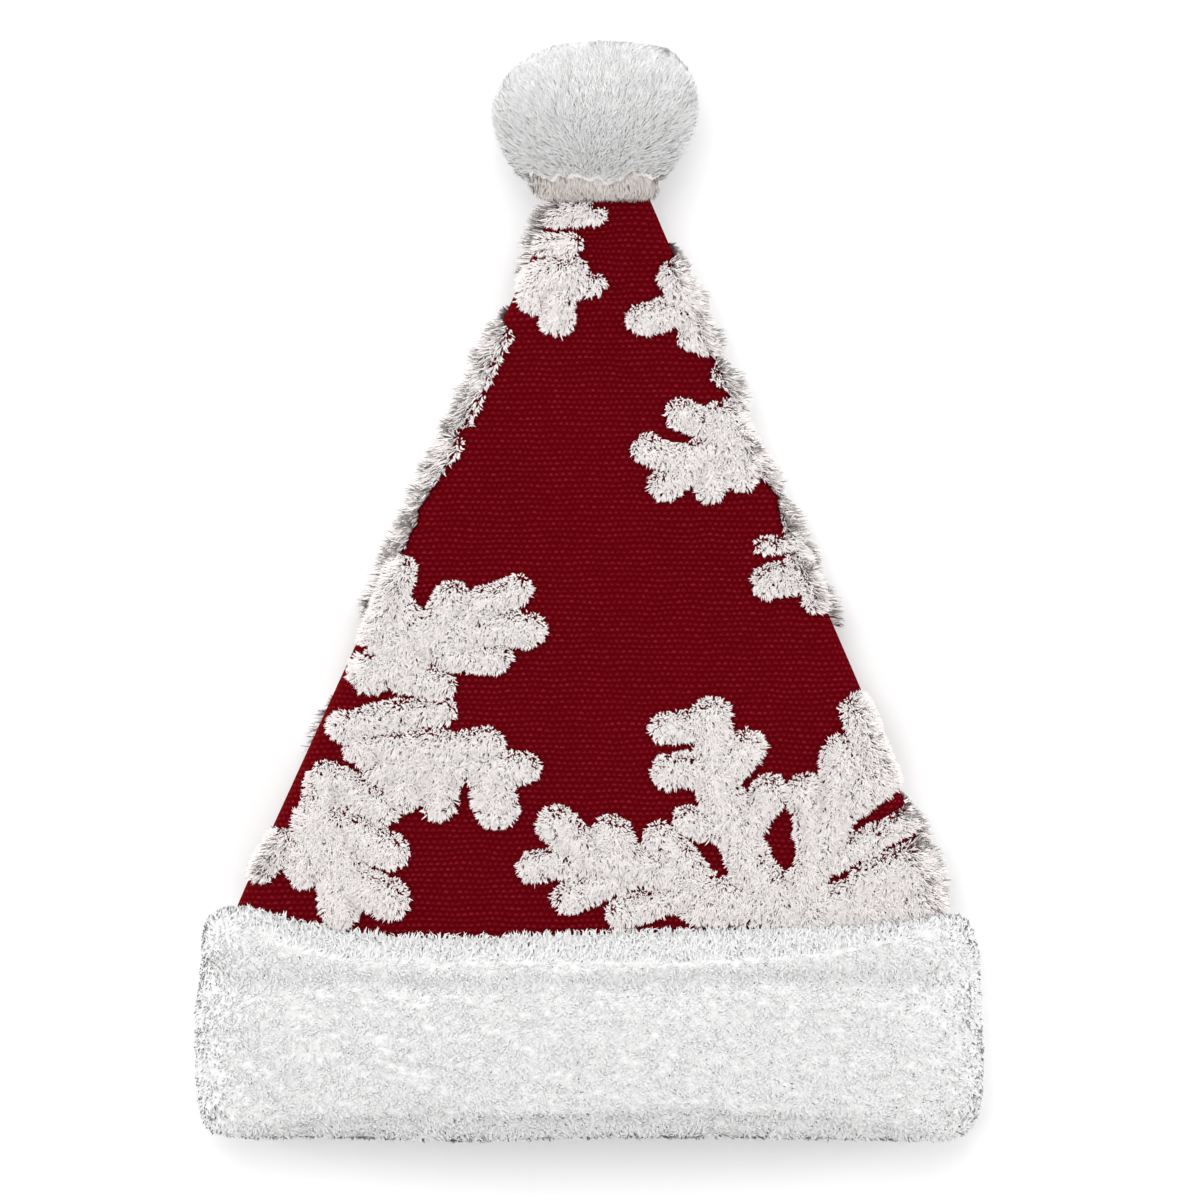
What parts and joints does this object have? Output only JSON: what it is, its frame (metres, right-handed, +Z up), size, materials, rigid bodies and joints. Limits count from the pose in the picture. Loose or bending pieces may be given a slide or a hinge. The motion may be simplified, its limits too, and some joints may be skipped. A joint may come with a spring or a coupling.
{
  "type": "santa hat",
  "caption": "Knitted cone-shaped Christmas hat with tufted plush snowflakes, a plush pompom and a folded plush cuff, lying flat.",
  "frame": {"origin": "on the surface that the hat lies on, below the middle of its bounding box", "axes": "+X to the wearer's side, +Y from the head opening to the pompom, +Z up from the surface"},
  "size_m": [0.29, 0.4, 0.0565],
  "materials": {
    "crown_cloth": "fine knit",
    "cuff_plush": "curly plush",
    "pompom_plush": "combed long plush",
    "flake_plush": "tufted plush"
  },
  "bodies": {
    "root": {"crown": "crown_cloth", "cuff": "cuff_plush", "pompom": "pompom_plush", "snowflake_front": "flake_plush", "snowflake_left": "flake_plush", "snowflake_right": "flake_plush", "snowflake_tip": "flake_plush", "snowflake_back_top": "flake_plush", "snowflake_back_right": "flake_plush"}
  },
  "joints": []
}
